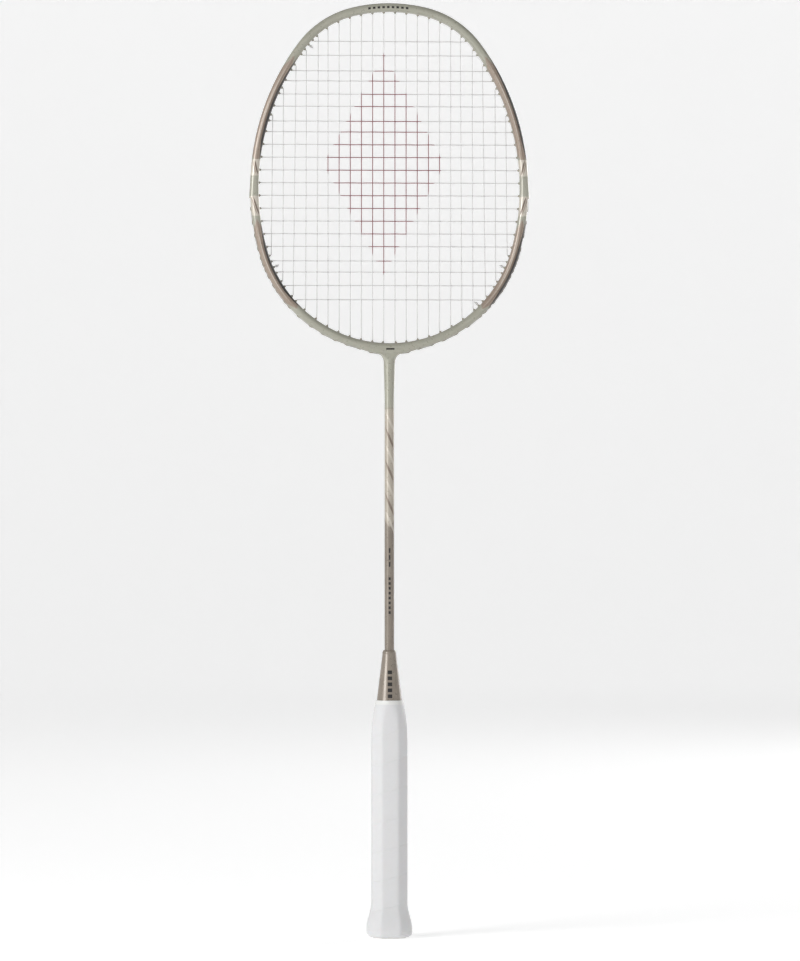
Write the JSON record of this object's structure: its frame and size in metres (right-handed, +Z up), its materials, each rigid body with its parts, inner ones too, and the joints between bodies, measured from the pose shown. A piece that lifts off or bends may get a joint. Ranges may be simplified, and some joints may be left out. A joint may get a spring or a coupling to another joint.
{
  "type": "badminton racket",
  "caption": "Strung badminton racket with a rounded square head, slim shaft, tapered cone and wrapped octagonal handle with a flared butt.",
  "frame": {"origin": "centre of the butt's flat end, on the shaft's axis", "axes": "+Z up the shaft towards the crown of the head, +X across the string face to the right, +Y out of the back of the string face"},
  "size_m": [0.2026, 0.0304, 0.675],
  "materials": {
    "frame_lacquer": "satin pearl lacquer",
    "shaft_lacquer": "satin metallic lacquer",
    "cone_lacquer": "satin metallic lacquer",
    "joint_carbon": "matt",
    "grommet_nylon": "matt",
    "string_nylon": "satin",
    "grip_polyurethane": "soft matt",
    "finishing_tape": "matt",
    "core_wood": "raw",
    "butt_plastic": "matt",
    "label_film": "satin",
    "staple_steel": "bright"
  },
  "bodies": {
    "root": {"head_frame": "frame_lacquer", "t_joint": "joint_carbon", "shaft": "shaft_lacquer", "cone_cap": "cone_lacquer", "handle_core": "core_wood", "butt_cap": "butt_plastic", "butt_cap_staples": "staple_steel", "butt_label": "label_film", "grip_wrap": "grip_polyurethane", "grip_finishing_tape": "finishing_tape", "main_string": "string_nylon", "cross_string": "string_nylon", "main_knot_left": "string_nylon", "main_knot_right": "string_nylon", "cross_knot_upper": "string_nylon", "cross_knot_lower": "string_nylon", "grommets_throat": "grommet_nylon", "grommets_crown": "grommet_nylon", "grommets_left_lower": "grommet_nylon", "grommets_right_lower": "grommet_nylon", "grommets_left_side": "grommet_nylon", "grommets_right_side": "grommet_nylon", "grommets_left_shoulder": "grommet_nylon", "grommets_right_shoulder": "grommet_nylon"}
  },
  "joints": []
}
